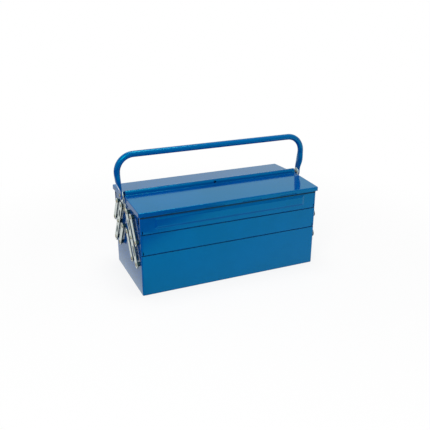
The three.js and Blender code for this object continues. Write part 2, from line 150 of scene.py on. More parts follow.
def bumpOn(height, strength, distance, under=None):  # under is a bump that this one lies on
    sockets = {"Height": height, "Strength": strength, "Distance": distance}
    if under:
        sockets["Normal"] = under
    return height.node("ShaderNodeBump", {}, sockets, out="Normal")


def startFinish(name):  # a new material, and the places on its piece
    material = bpy.data.materials.new(name)
    material.use_nodes = True
    material.node_tree.nodes.clear()
    return material, Wire(material.node_tree).node("ShaderNodeTexCoord", out="Object")


def closeFinish(wire, sockets, paintedShade=None):
    shader = wire.node("ShaderNodeBsdfPrincipled", {}, sockets, out="BSDF")
    # when given, a mask of painted shade: a dark finish is mixed in along it
    if paintedShade:
        darkShadeFinish = wire.node("ShaderNodeBsdfPrincipled", {}, paintedShadeLook["darkShadeFinish"], out="BSDF")
        shader = wire.node("ShaderNodeMixShader", {}, {0: paintedShade, 1: shader, 2: darkShadeFinish}, out="Shader")
    wire.node("ShaderNodeOutputMaterial", {}, {"Surface": shader})


# Painted shade on the long walls: dark lines in the joints between trays, and a painted shadow
# under the hinges
paintedShadeLook = {
    "darkShadeFinish": {"Base Color": colour(0.006, 0.030, 0.050), "Roughness": 0.7, "IOR": 1.2},
    "lines": [
        # painted shade in the joints between the trays
        {"height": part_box("base_pan")[1][2], "reach": 0.0011, "strength": 0.75},
        {"height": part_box("front_mid_tray")[1][2], "reach": 0.0011, "strength": 0.75},
        # a painted shadow under the hinge, where the lid's skirt overhangs the wall
        {"height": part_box("front_hinge_leaf")[0][2] - 0.0018, "reach": 0.0032, "strength": 0.85},
    ],
    "core": 0.45,  # the part of a line's reach that is at full strength
    "wall": abs(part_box("base_pan")[0][1]),
    "inward": (0.0012, 0.0002),  # it fades in between these depths behind the wall's face
}


# mask of painted shade: dark bands at the lines' heights, on the long walls' outer faces
def paintedShadeOn(place, look):
    inner, outer = (look["wall"] - depth for depth in look["inward"])
    height = place.axis("Z")
    paintedShade = 0.0
    for line in look["lines"]:
        reach = line["reach"]
        one = height.apartFrom(line["height"]).ranged(
            look["core"] * reach, reach, line["strength"], 0.0
        )
        paintedShade = one.atLeast(paintedShade)
    return paintedShade * place.axis("Y").apartFrom(0.0).ranged(inner, outer)


# Noises are given as scale, detail and roughness
enamelLook = {
    "deep": colour(0.0, 0.060, 0.285),
    "bright": colour(0.0, 0.074, 0.335),
    "glint": colour(0.0, 1.0, 1.0),
    "ior": 1.6,
    "gloss": 0.09,
    "dull": 0.15,
    "broad": (7.0, 2.0),
    "cloudy": (55.0, 4.0),
    "cloudShare": 0.25,
    "spread": (0.3, 0.7),
    "peel": 0.03,
    "peelDepth": 0.0004,
    "peelNoise": (420.0, 2.0),
    "wave": 0.03,
    "waveDepth": 0.004,
    "waveNoise": (11.0, 1.0),
    "scuff": colour(0.05, 0.20, 0.42),
    "scuffing": 0.14,
    "rubbing": 0.06,
    "scuffNoise": (4.0, 6.0, 0.7),
    "scuffStretch": (14.0, 160.0, 60.0),
    "scuffEdge": (0.7, 0.78),
    "patchNoise": (18.0, 2.0),
    "patchEdge": (0.5, 0.7),
    # whether the painted shade lines are laid on
    "paintedShade": True,
}
handleEnamelLook = {
    **enamelLook,
    "dull": 0.13,
    "peel": 0.0,
    "wave": 0.0,
    "scuffing": 0.0,
    "rubbing": 0.0,
    "paintedShade": False,
}


def makeEnamel(name, look):
    material, place = startFinish(name)
    broad = noiseOn(place, *look["broad"])
    clouds = look["cloudShare"] * noiseOn(place, *look["cloudy"])
    shade = ((1 - look["cloudShare"]) * broad + clouds).ranged(*look["spread"])
    tone = shade.blended(look["deep"], look["bright"])
    dragged = noiseOn(stretched(place, look["scuffStretch"]), *look["scuffNoise"])
    patches = noiseOn(place, *look["patchNoise"]).ranged(*look["patchEdge"])
    scuffs = dragged.ranged(*look["scuffEdge"]) * patches
    dullness = broad.ranged(*look["spread"], look["gloss"], look["dull"])
    waves = bumpOn(noiseOn(place, *look["waveNoise"]), look["wave"], look["waveDepth"])
    peel = bumpOn(noiseOn(place, *look["peelNoise"]), look["peel"], look["peelDepth"], waves)
    closeFinish(
        place,
        {
            "Base Color": (scuffs * look["scuffing"]).blended(tone, look["scuff"]),
            "Roughness": dullness + scuffs * look["rubbing"],
            "IOR": look["ior"],
            "Specular Tint": look["glint"],
            "Normal": peel,
        },
        look["paintedShade"] and paintedShadeOn(place, paintedShadeLook),
    )
    return material


zincLook = {
    "pale": colour(0.60, 0.67, 0.63),
    "grey": colour(0.42, 0.50, 0.47),
    "metal": 0.85,
    "rough": (0.22, 0.42),
    "cloudy": (90.0, 4.0),
    "brushed": (3.0, 3.0),
    "brushStretch": (40.0, 900.0, 120.0),
    "brushShare": 0.35,
    "brushDepth": 0.0002,
    "brushing": 0.15,
    "spread": (0.3, 0.7),
}
armZincLook = {
    **zincLook,
    "pale": colour(0.82, 0.88, 0.85),
    "grey": colour(0.66, 0.74, 0.72),
    "metal": 0.4,
    "rough": (0.3, 0.45),
}
# a dark zinc that paints shade: in the arms' beads, on their backs and edges, and on the rivets'
# collars
paintedShadeZincLook = {
    **zincLook,
    "pale": colour(0.016, 0.065, 0.085),
    "grey": colour(0.006, 0.030, 0.045),
    "metal": 0.3,
    "rough": (0.3, 0.5),
}


def makeZinc(name, look):
    material, place = startFinish(name)
    cloudy = noiseOn(place, *look["cloudy"])
    brushed = noiseOn(stretched(place, look["brushStretch"]), *look["brushed"])
    shade = (1 - look["brushShare"]) * cloudy + look["brushShare"] * brushed
    closeFinish(
        place,
        {
            "Base Color": shade.ranged(*look["spread"]).blended(look["grey"], look["pale"]),
            "Metallic": look["metal"],
            "Roughness": cloudy.ranged(*look["spread"], *look["rough"]),
            "Normal": bumpOn(brushed, look["brushing"], look["brushDepth"]),
        },
    )
    return material


passivateLook = {
    "gold": colour(0.50, 0.38, 0.24),
    "grey": colour(0.36, 0.34, 0.30),
    "metal": 0.9,
    "rough": (0.3, 0.5),
    "patchy": (260.0, 3.0),
    "patchEdge": (0.35, 0.65),
    "spread": (0.3, 0.7),
    "pitted": (900.0, 2.0),
    "pitting": 0.2,
    "pitDepth": 0.0002,
}


def makeRivetFinish(name, look):
    material, place = startFinish(name)
    patchy = noiseOn(place, *look["patchy"])
    closeFinish(
        place,
        {
            "Base Color": patchy.ranged(*look["patchEdge"]).blended(look["grey"], look["gold"]),
            "Metallic": look["metal"],
            "Roughness": patchy.ranged(*look["spread"], *look["rough"]),
            "Normal": bumpOn(noiseOn(place, *look["pitted"]), look["pitting"], look["pitDepth"]),
        },
    )
    return material


blueEnamel = makeEnamel("blueEnamel", enamelLook)
handleEnamel = makeEnamel("handleEnamel", handleEnamelLook)
zincPlate = makeZinc("zincPlate", zincLook)
armZinc = makeZinc("armZinc", armZincLook)
paintedShadeZinc = makeZinc("paintedShadeZinc", paintedShadeZincLook)
rivetPassivate = makeRivetFinish("rivetPassivate", passivateLook)
print("finishes made")


def clamped(value, low, high):
    return min(max(value, low), high)


def easedBetween(value, start, end):
    share = clamped((value - start) / (end - start), 0, 1)
    return share * share * (3 - 2 * share)


def cornersOf(node):
    return [Vector(corner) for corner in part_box(node)]


def centreOf(node):
    low, high = cornersOf(node)
    return (low + high) / 2


def edgesOf(verts):
    return list({edge for vert in verts for edge in vert.link_edges})


def vertsIn(geometry):
    return [part for part in geometry if isinstance(part, bmesh.types.BMVert)]


def edgesIn(geometry):
    return [part for part in geometry if isinstance(part, bmesh.types.BMEdge)]


def crease(bm, edges, offset, segments):
    bmesh.ops.bevel(
        bm,
        geom=edges,
        offset=offset,
        offset_type="OFFSET",
        affect="EDGES",
        segments=segments,
        profile=0.5,
        material=-1,
    )


def block(bm, corner, opposite):
    corner, opposite = Vector(corner), Vector(opposite)
    verts = bmesh.ops.create_cube(bm, size=1)["verts"]
    bmesh.ops.scale(bm, vec=[abs(side) for side in opposite - corner], verts=verts)
    bmesh.ops.translate(bm, vec=(corner + opposite) / 2, verts=verts)


def rod(bm, radius, length, segments, matrix):
    bmesh.ops.create_cone(
        bm,
        cap_ends=True,
        segments=segments,
        radius1=radius,
        radius2=radius,
        depth=length,
        matrix=matrix,
    )


def grow(bm, edges, move):  # one strip of faces from open edges; move gives each new place
    grown = bmesh.ops.extrude_edge_only(bm, edges=edges)["geom"]
    for vert in vertsIn(grown):
        vert.co = move(vert.co)
    return edgesIn(grown)


def turnUp(bm):  # all of a sheet's faces one way, with the broadest one upwards
    bmesh.ops.recalc_face_normals(bm, faces=bm.faces)
    if max(bm.faces, key=lambda face: face.calc_area()).normal.z < 0:
        bmesh.ops.reverse_faces(bm, faces=bm.faces)


def toQuarter(bm, endSign, sideSign):  # from the rear right, where most pieces are drawn
    bmesh.ops.scale(bm, vec=(endSign, sideSign, 1), verts=bm.verts)
    if endSign * sideSign < 0:
        bmesh.ops.reverse_faces(bm, faces=bm.faces)


def sheetObject(bm, name, material):
    mesh = bpy.data.meshes.new(name)
    bm.to_mesh(mesh)
    bm.free()
    mesh.materials.append(material)
    made = bpy.data.objects.new(name, mesh)
    bpy.context.scene.collection.objects.link(made)
    return made


def blockCutter(corner, opposite):
    bm = bmesh.new()
    block(bm, corner, opposite)
    return sheetObject(bm, "cutter", blueEnamel)


def thicken(made, thickness):
    wall = made.modifiers.new("wall", "SOLIDIFY")
    wall.thickness = thickness
    wall.offset = -1.0
    wall.use_even_offset = True
    return wall


def soften(made, width, angle=35):
    edge = made.modifiers.new("edge", "BEVEL")
    edge.width = width
    edge.segments = 2
    edge.limit_method = "ANGLE"
    edge.angle_limit = math.radians(angle)
    edge.use_clamp_overlap = True


def settle(made, cutters):  # keeps what the modifiers make, with the cutters taken out
    for cutter in cutters:
        cut = made.modifiers.new("cut", "BOOLEAN")
        cut.operation = "DIFFERENCE"
        cut.solver = "EXACT"
        cut.object = cutter
    shape = made.evaluated_get(bpy.context.evaluated_depsgraph_get())
    made.modifiers.clear()
    finished = bpy.data.meshes.new_from_object(shape)
    finished.name = made.name
    made.data = finished
    for cutter in cutters:
        bpy.data.objects.remove(cutter)


def fit(made, nodes, angle=38):  # shades a piece, and puts it on its body for its nodes
    made.data.shade_smooth()
    made.data.set_sharp_from_angle(angle=math.radians(angle))
    flats = made.modifiers.new("flats", "WEIGHTED_NORMAL")
    flats.keep_sharp = True
    flats.weight = 50
    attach(made, frame["nodes"][nodes[0]]["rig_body"])
    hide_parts(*nodes)


# Pans: sheet folded up at the foot, with a rim hemmed inwards
panLook = {
    "sheet": 0.00075,
    "corner": 0.003,
    "cornerSteps": 5,
    "fold": 0.002,
    "foldSteps": 4,
    "rim": 0.0008,
    "rimSteps": 5,
    "hem": 0.007,
}
seamLook = {
    "inset": 0.005,
    "width": 0.0005,
    "depth": 0.0004,
    "notchWidth": 0.002,
    "notchHeight": 0.009,
    "reliefWidth": 0.005,
    "reliefHeight": 0.0016,
}
panelLook = {
    "length": 0.366,
    "height": 0.025,
    "foot": 0.0105,
    "bevel": 0.0045,
    "rise": 0.0012,
    "softness": 0.0011,
    "softSteps": 3,
}
slotLook = {"inset": 0.005, "width": 0.009, "foot": 0.021, "height": 0.017}


def panSheet(low, high, look):
    bm = bmesh.new()
    top = high.z - look["rim"]
    block(bm, low, (high.x, high.y, top))
    upright = [e for e in bm.edges if abs(e.verts[0].co.z - e.verts[1].co.z) > look["corner"]]
    crease(bm, upright, look["corner"], look["cornerSteps"])
    foot = [e for e in bm.edges if all(v.co.z < low.z + same for v in e.verts)]
    crease(bm, foot, look["fold"], look["foldSteps"])
    lid = [f for f in bm.faces if f.calc_center_median().z > top - same]
    bmesh.ops.delete(bm, geom=lid, context="FACES_ONLY")

    def inwards(place, depth, height):
        corner = look["corner"]
        core = Vector(
            (
                clamped(place.x, low.x + corner, high.x - corner),
                clamped(place.y, low.y + corner, high.y - corner),
                place.z,
            )
        )
        moved = place + (core - place).normalized() * depth
        return Vector((moved.x, moved.y, height))

    edges = [e for e in bm.edges if e.is_boundary]
    done = 0.0
    for step in range(1, look["rimSteps"] + 1):
        turn = math.pi * step / look["rimSteps"]
        depth = look["rim"] * (1 - math.cos(turn))
        height = top + look["rim"] * math.sin(turn)
        edges = grow(bm, edges, lambda place: inwards(place, depth - done, height))
        done = depth
    grow(bm, edges, lambda place: Vector((place.x, place.y, high.z - look["hem"])))
    bmesh.ops.recalc_face_normals(bm, faces=bm.faces)
    return bm


def pressPanel(bm, foot, wallY, side, look):  # a raised field in the long outer wall
    low = foot + look["foot"]
    outwards = Vector((0, side, 0))
    cuts = [
        ((look["length"] / 2, 0, 0), (1, 0, 0)),
        ((-look["length"] / 2, 0, 0), (1, 0, 0)),
        ((0, 0, low), (0, 0, 1)),
        ((0, 0, low + look["height"]), (0, 0, 1)),
    ]
    for place, normal in cuts:
        faces = [f for f in bm.faces if f.normal.dot(outwards) > aligned]
        edges = {e for f in faces for e in f.edges}
        verts = {v for f in faces for v in f.verts}
        bmesh.ops.bisect_plane(
            bm, geom=[*faces, *edges, *verts], plane_co=place, plane_no=normal, dist=same
        )
    middle = Vector((0, wallY, low + look["height"] / 2))
    field = min(bm.faces, key=lambda face: (face.calc_center_median() - middle).length)
    slopes = bmesh.ops.inset_region(
        bm, faces=[field], thickness=look["bevel"], depth=look["rise"], use_even_offset=True
    )["faces"]
    edges = {e for f in slopes for e in f.edges}
    crease(bm, list(edges), look["softness"], look["softSteps"])


def seamCuts(low, high, side):  # a tray's corner slits and notches, or the base's foot reliefs
    look = seamLook
    if side:
        shapes = [
            (look["width"], look["depth"], high.z - low.z + spare),
            (look["notchWidth"], 2 * panLook["sheet"], look["notchHeight"]),
        ]
    else:
        shapes = [(look["reliefWidth"], panLook["sheet"] + spare, look["reliefHeight"])]
    for wallSign in [side] if side else (-1, 1):
        wallY = high.y if wallSign > 0 else low.y
        for endSign in (-1, 1):
            x = endSign * (high.x - look["inset"])
            for width, depth, height in shapes:
                yield (
                    (x - width / 2, wallY - wallSign * depth, low.z - spare),
                    (x + width / 2, wallY + wallSign * spare, low.z + height),
                )


def slotCuts(low, high, side):  # one through each end wall, near the outer corner
    look = slotLook
    outerY = (high.y if side > 0 else low.y) - side * look["inset"]
    slotZ = low.z + look["foot"]
    for endSign in (-1, 1):
        yield (
            (endSign * (high.x - 2 * spare), outerY, slotZ),
            (endSign * (high.x + spare), outerY - side * look["width"], slotZ + look["height"]),
        )


def makePan(node, name, side=0, panel=False):
    low, high = cornersOf(node)
    if panel:  # the node's box takes in the raised panel
        if side > 0:
            high.y -= panelLook["rise"]
        else:
            low.y += panelLook["rise"]
    bm = panSheet(low, high, panLook)
    cuts = list(seamCuts(low, high, side))
    if panel:
        pressPanel(bm, low.z, high.y if side > 0 else low.y, side, panelLook)
        cuts += slotCuts(low, high, side)
    made = sheetObject(bm, name, blueEnamel)
    thicken(made, panLook["sheet"])
    settle(made, [blockCutter(*corners) for corners in cuts])
    fit(made, [node])


makePan("base_pan", "basePan")
for side, sideSign in sideSigns.items():
    makePan(f"{side}_mid_tray", f"{side}MidTray", sideSign)
    makePan(f"{side}_top_tray", f"{side}TopTray", sideSign, panel=True)
print("pans folded")


# Hinges: knuckles in turn on the tray's leaf and on the lid, on one wire pin
hingeLook = {
    "radius": 0.0016,
    "wall": 0.0007,
    "segments": 20,
    "count": 9,
    "gap": 0.0003,
    "overlap": 0.0001,
    "leaf": 0.0065,
    "pin": 0.0006,
    "pinEdge": 0.0002,
}


def hingeLine(side):  # the pin's middle, half its length
    low, high = cornersOf(f"{side}_hinge_pin")
    return (low + high) / 2, high.x


def overKnuckles(centre):
    return centre.z + hingeLook["radius"] + hingeLook["gap"]


def rollKnuckles(bm, side, first, tongueSign):  # every other one, each with a tongue to its sheet
    look = hingeLook
    centre, half = hingeLine(side)
    pitch = 2 * half / look["count"]
    length = pitch - look["gap"]
    quarter = Matrix.Rotation(math.pi / 2, 3, "Y")
    tongueY = centre.y + tongueSign * look["radius"]
    for index in range(first, look["count"], 2):
        start = index * pitch - half + look["gap"] / 2
        verts = []
        for radius in (look["radius"], look["radius"] - look["wall"]):
            verts += bmesh.ops.create_circle(
                bm, cap_ends=False, radius=radius, segments=look["segments"]
            )["verts"]
        bmesh.ops.rotate(bm, verts=verts, cent=(0, 0, 0), matrix=quarter)
        bmesh.ops.translate(bm, verts=verts, vec=(start, centre.y, centre.z))
        face = bmesh.ops.bridge_loops(bm, edges=edgesOf(verts))["faces"]
        pushed = bmesh.ops.extrude_face_region(bm, geom=face)["geom"]
        bmesh.ops.translate(bm, verts=vertsIn(pushed), vec=(length, 0, 0))
        block(
            bm,
            (start, tongueY, centre.z),
            (
                start + length,
                tongueY - tongueSign * look["wall"],
                overKnuckles(centre) + look["overlap"],
            ),
        )


def makeHinge(side, sideSign):
    look = hingeLook
    centre, half = hingeLine(side)
    innerY = centre.y - sideSign * look["radius"]
    bm = bmesh.new()
    rollKnuckles(bm, side, 1, -sideSign)
    block(
        bm,
        (-half, innerY, overKnuckles(centre)),
        (half, innerY + sideSign * look["wall"], centre.z + look["leaf"]),
    )
    bmesh.ops.recalc_face_normals(bm, faces=bm.faces)
    fit(sheetObject(bm, f"{side}HingeLeaf", blueEnamel), [f"{side}_hinge_leaf"])

    bm = bmesh.new()
    lengthways = Matrix.Translation(centre) @ Matrix.Rotation(math.pi / 2, 4, "Y")
    rod(bm, look["pin"], 2 * half, look["segments"], lengthways)
    pin = sheetObject(bm, f"{side}HingePin", zincPlate)
    soften(pin, look["pinEdge"])
    fit(pin, [f"{side}_hinge_pin"])


for side, sideSign in sideSigns.items():
    makeHinge(side, sideSign)
print("hinges made")


# Lids: a plate with skirts on three sides, and the ridge or the upstand on its inner edge
lidLook = {
    "sheet": 0.0008,
    "corner": 0.003,
    "cornerSteps": 5,
    "fold": 0.002,
    "foldSteps": 5,
    "skirt": 0.0094,
    "slope": 0.043,
    "innerFold": 0.0012,
    "innerFoldSteps": 3,
    "hingeCut": 0.005,
}
ridgeLook = {
    "depth": 0.012,
    "steps": 12,
    "backGap": 0.0058,
    "endInset": 0.003,
    "endReach": 0.02,
}
lockHoleLook = {"radius": 0.0032, "height": 0.0092, "segments": 32, "cutLength": 0.05}
upstandLook = {"height": 0.0106}


def lidSheet(outerX, innerY, outerY, topZ, look):  # drawn for the rear
    bm = bmesh.new()
    block(bm, (-outerX, innerY, topZ - look["skirt"]), (outerX, outerY, topZ))
    upright = [
        e
        for e in bm.edges
        if all(abs(v.co.y - outerY) < same for v in e.verts)
        and abs(e.verts[0].co.z - e.verts[1].co.z) > same
    ]
    crease(bm, upright, look["corner"], look["cornerSteps"])
    inner = [f for f in bm.faces if abs(f.calc_center_median().y - innerY) < same]
    under = [f for f in bm.faces if f.normal.z < -aligned]
    bmesh.ops.delete(bm, geom=inner + under, context="FACES")
    over = [
        e
        for e in bm.edges
        if all(abs(v.co.z - topZ) < same for v in e.verts) and not e.is_boundary
    ]
    crease(bm, over, look["fold"], look["foldSteps"])
    for vert in bm.verts:
        if vert.co.z > topZ - look["fold"] - same:
            vert.co.z += look["slope"] * (outerY - vert.co.y)
    bmesh.ops.recalc_face_normals(bm, faces=bm.faces)
    return bm


def foldPath(reach, footZ):  # the small fold from the plate up to the ridge or the upstand
    turn = lidLook["innerFold"]
    path = []
    for step in range(1, lidLook["innerFoldSteps"] + 1):
        angle = math.pi / 2 * step / lidLook["innerFoldSteps"]
        path.append((reach + turn * (1 - math.sin(angle)), footZ + turn * (1 - math.cos(angle))))
    return path


def ridgePath(topZ, backZ):  # up to the roll, over it, and down its back
    radius = ridgeLook["depth"] / 2
    spring = topZ - radius
    path = [(0.0, spring)]
    for step in range(1, ridgeLook["steps"] + 1):
        turn = math.pi * step / ridgeLook["steps"]
        path.append((radius * math.cos(turn) - radius, spring + radius * math.sin(turn)))
    return [*path, (-2 * radius, backZ)]


def growPath(bm, edges, outerX, path):  # path holds places across and up; ends come to outerX
    for y, z in path:
        edges = grow(bm, edges, lambda place: Vector((math.copysign(outerX, place.x), y, z)))


def lockCutter(y, z):
    look = lockHoleLook
    bm = bmesh.new()
    across = Matrix.Translation((0, y, z)) @ Matrix.Rotation(math.pi / 2, 4, "X")
    rod(bm, look["radius"], look["cutLength"], look["segments"], across)
    return sheetObject(bm, "lockCutter", blueEnamel)


def makeLid(side, sideSign):
    look = lidLook
    centre, half = hingeLine(side)
    low, high = cornersOf(f"{side}_lid")
    outerY = max(abs(low.y), abs(high.y))
    plateZ = centre.z - hingeLook["gap"] + look["skirt"]
    if side == "front":
        reach = 0.0
        rise = ridgePath(high.z, plateZ + ridgeLook["backGap"])
    else:
        reach = low.y
        rise = [(reach, plateZ + upstandLook["height"])]
    foldY = reach + look["innerFold"]
    foldZ = plateZ + look["slope"] * (outerY - foldY)
    bm = lidSheet(high.x, foldY, outerY, plateZ, look)
    inner = [
        e
        for e in bm.edges
        if e.is_boundary
        and all(abs(v.co.y - foldY) < same and abs(v.co.z - foldZ) < same for v in e.verts)
    ]
    growPath(bm, inner, high.x, foldPath(reach, foldZ) + rise)
    turnUp(bm)
    toQuarter(bm, 1, sideSign)
    made = sheetObject(bm, f"{side}Lid", blueEnamel)
    thicken(made, look["sheet"])
    cutters = [
        blockCutter(
            (-half, sideSign * (outerY - 2 * spare), centre.z - look["hingeCut"]),
            (half, sideSign * (outerY + spare), overKnuckles(centre)),
        ),
        lockCutter(sideSign * (reach - ridgeLook["depth"] / 2), plateZ + lockHoleLook["height"]),
    ]
    if side == "front":
        for endSign in (-1, 1):
            cutters.append(
                blockCutter(
                    (endSign * (high.x - ridgeLook["endInset"]), -spare, foldZ + look["innerFold"]),
                    (endSign * (high.x + spare), ridgeLook["endReach"], high.z + spare),
                )
            )
    settle(made, cutters)

    bm = bmesh.new()
    rollKnuckles(bm, side, 0, sideSign)
    bmesh.ops.recalc_face_normals(bm, faces=bm.faces)
    bm.from_mesh(made.data)
    bm.to_mesh(made.data)
    bm.free()
    fit(made, [f"{side}_lid"])


for side, sideSign in sideSigns.items():
    makeLid(side, sideSign)
print("lids folded")


stripPlate = 0.002  # thickness of the arms and the brackets


# Arms: round-ended strips; the long ones have pressed beads
armLook = {
    "longWidth": 0.018,
    "shortWidth": 0.015,
    "segments": 32,
    "hole": 0.0027,
    "holeSegments": 16,
    "beadLength": 0.024,
    "beadWidth": 0.0092,
    "beadDepth": 0.0008,
    "beadSegments": 20,
    "beadRings": ((0.94, 0.12), (0.8, 0.5), (0.6, 0.85), (0.35, 1.0)),  # shares of width, depth
    "paintedShadeFrom": 0.3,  # share of its depth below which a bead takes the dark finish, painted shade
    "edge": 0.00035,
    "edgeAngle": 50,
}
armPivots = {
    "long": ["base_long", "mid_long", "top_long"],
    "inner": ["base_inner", "mid_inner"],
    "outer": ["mid_outer", "top_outer"],
}


def capsuleLoop(bm, radius, start, reach, segments):
    ring = bmesh.ops.create_circle(bm, cap_ends=False, radius=radius, segments=segments)["verts"]
    bmesh.ops.rotate(
        bm, verts=ring, cent=(0, 0, 0), matrix=Matrix.Rotation(math.pi / segments, 3, "Z")
    )
    bmesh.ops.translate(bm, verts=[v for v in ring if v.co.y > 0], vec=(0, reach, 0))
    bmesh.ops.translate(bm, verts=ring, vec=(0, start, 0))
    return edgesOf(ring)


def dishBead(bm, ring, start, reach, look):  # steps down from the bead's outline to its floor
    half = look["beadWidth"] / 2
    for share, depth in look["beadRings"]:

        def dished(place):
            spineY = clamped(place.y, start, start + reach)
            away = Vector((place.x, place.y - spineY, 0)).normalized() * half * share
            return Vector((away.x, spineY + away.y, -depth * look["beadDepth"]))

        ring = grow(bm, ring, dished)
    bmesh.ops.holes_fill(bm, edges=ring, sides=0)


def endPlane(start, towards, x):  # across, along and outwards on the rear right end wall
    along = Vector((0, towards.y - start.y, towards.z - start.z)).normalized()
    across = Vector((0, along.z, -along.y))
    turn = Matrix((across, along, Vector((1, 0, 0)))).transposed().to_4x4()
    return Matrix.Translation((x, start.y, start.z)) @ turn


def makeArm(kind, side, end):
    look = armLook
    beaded = kind == "long"
    width = look["longWidth"] if beaded else look["shortWidth"]
    pivots = [centreOf(f"rear_right_{name}_rivet") for name in armPivots[kind]]
    stops = [(pivot.yz - pivots[0].yz).length for pivot in pivots]
    bm = bmesh.new()
    edges = capsuleLoop(bm, width / 2, 0, stops[-1], look["segments"])
    for stop in stops:
        edges += capsuleLoop(bm, look["hole"], stop, 0, look["holeSegments"])
    reach = look["beadLength"] - look["beadWidth"]
    beads = []
    if beaded:
        for first, second in zip(stops, stops[1:]):
            start = (first + second - reach) / 2
            ring = capsuleLoop(bm, look["beadWidth"] / 2, start, reach, look["beadSegments"])
            beads.append((ring, start))
            edges += ring
    bmesh.ops.triangle_fill(bm, use_beauty=True, use_dissolve=False, edges=edges, normal=(0, 0, 1))
    for ring, start in beads:
        dishBead(bm, ring, start, reach, look)
    for face in bm.faces:
        if face.calc_center_median().z < -look["paintedShadeFrom"] * look["beadDepth"]:
            face.material_index = 1
    turnUp(bm)
    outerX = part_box(f"rear_right_{kind}_arm")[1][0]
    bmesh.ops.transform(bm, matrix=endPlane(pivots[0], pivots[-1], outerX), verts=bm.verts)
    toQuarter(bm, endSigns[end], sideSigns[side])
    made = sheetObject(bm, f"{side}{end.capitalize()}{kind.capitalize()}Arm", armZinc)
    # second finish: the dark zinc of painted shade, for the beads, the back and the edges
    made.data.materials.append(paintedShadeZinc)
    wall = thicken(made, stripPlate)
    wall.material_offset = 1  # the back and the edges take the dark finish: painted shade, whose reflection in the wall paints a dark band beside each arm
    wall.material_offset_rim = 1
    soften(made, look["edge"], look["edgeAngle"])
    fit(made, [f"{side}_{end}_{kind}_arm"])


for side in sideSigns:
    for end in endSigns:
        for kind in armPivots:
            makeArm(kind, side, end)
print("arms pressed")


# Rivets: shallow head inside, shank, spacing collar, and a domed or a rolled head outside
rivetLook = {
    "head": 0.0042,
    "headHeight": 0.0015,
    "crown": 0.0002,
    "crownShare": 0.6,
    "domeSteps": 6,
    "shank": 0.0023,
    "collar": 0.0046,
    "collarEdge": 0.0003,
    "gap": 0.0003,
    "eye": 0.0019,
    "eyeDepth": 0.006,
    "steps": 28,
    "sharpFrom": 50,
}
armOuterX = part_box("rear_right_long_arm")[1][0]
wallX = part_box("base_pan")[1][0]
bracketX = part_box("right_handle_bracket")[0][0] + stripPlate


def rivetPlan(node):  # from where to where its collar reaches, and whether it is a tube
    if node.endswith(("handle_rivet", "bracket_rivet")):
        return {}
    overBracket = node.startswith("rear") and "top_long" in node
    return {
        "collarStart": (bracketX if overBracket else wallX) + rivetLook["gap"],
        "collarEnd": armOuterX - stripPlate - rivetLook["gap"],
        "tubular": "mid_long" in node,
    }


def rivetProfile(innerX, outerX, look, collarStart=None, collarEnd=None, tubular=False):
    head, shank, height = look["head"], look["shank"], look["headHeight"]
    points = [
        (0, innerX),
        (head * look["crownShare"], innerX + look["crown"]),
        (head, innerX + height),
        (shank, innerX + height),
    ]
    if collarStart:
        collar, edge = look["collar"], look["collarEdge"]
        points += [
            (shank, collarStart),
            (collar - edge, collarStart),
            (collar, collarStart + edge),
            (collar, collarEnd - edge),
            (collar - edge, collarEnd),
            (shank, collarEnd),
        ]
    tip = outerX - height
    points.append((shank, tip))
    middle, roll, sweep = 0, head, math.pi / 2
    if tubular:
        middle, roll, sweep = (head + look["eye"]) / 2, (head - look["eye"]) / 2, math.pi
    for step in range(look["domeSteps"] + 1):
        turn = sweep * step / look["domeSteps"]
        points.append((middle + roll * math.cos(turn), tip + height * math.sin(turn)))
    if tubular:
        points += [(look["eye"], outerX - look["eyeDepth"]), (0, outerX - look["eyeDepth"])]
    return points


def turnRivet(bm, node, plan):
    low, high = cornersOf(node)
    innerX, outerX = sorted((abs(low.x), abs(high.x)))
    points = rivetProfile(innerX, outerX, rivetLook, **plan)
    verts = [bm.verts.new((x, radius, 0)) for radius, x in points]
    edges = [bm.edges.new(pair) for pair in zip(verts, verts[1:])]
    bmesh.ops.spin(
        bm,
        geom=verts + edges,
        cent=(0, 0, 0),
        axis=(1, 0, 0),
        dvec=(0, 0, 0),
        angle=2 * math.pi,
        steps=rivetLook["steps"],
        use_merge=True,
        use_duplicate=False,
    )
    # the collars, in the gap behind the arms, take the second finish: dark zinc, painted shade
    for face in bm.faces if plan else ():
        onCollar = plan["collarStart"] < face.calc_center_median().x < plan["collarEnd"]
        face.material_index = int(onCollar)
    bmesh.ops.scale(bm, vec=(math.copysign(1, low.x), 1, 1), verts=bm.verts)
    bmesh.ops.translate(bm, vec=(0, (low.y + high.y) / 2, (low.z + high.z) / 2), verts=bm.verts)
    bmesh.ops.remove_doubles(bm, verts=bm.verts, dist=same)
    bmesh.ops.recalc_face_normals(bm, faces=bm.faces)


def makeRivets(name, nodes):
    bm = bmesh.new()
    for node in nodes:
        single = bmesh.new()
        turnRivet(single, node, rivetPlan(node))
        piece = bpy.data.meshes.new("turned")
        single.to_mesh(piece)
        single.free()
        bm.from_mesh(piece)
        bpy.data.meshes.remove(piece)
    made = sheetObject(bm, name, rivetPassivate)
    # second finish: the dark zinc of painted shade, for the collars
    made.data.materials.append(paintedShadeZinc)
    fit(made, nodes, rivetLook["sharpFrom"])


byBody = {}
for node in frame["nodes"]:
    if node.endswith("_rivet"):
        byBody.setdefault(frame["nodes"][node]["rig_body"], []).append(node)
for body, nodes in byBody.items():
    makeRivets(f"{body}_rivets", sorted(node for node in nodes if rivetPlan(node)))
    plain = sorted(node for node in nodes if not rivetPlan(node))
    if plain:
        makeRivets(f"{body}_handle_rivets", plain)
print("rivets turned")


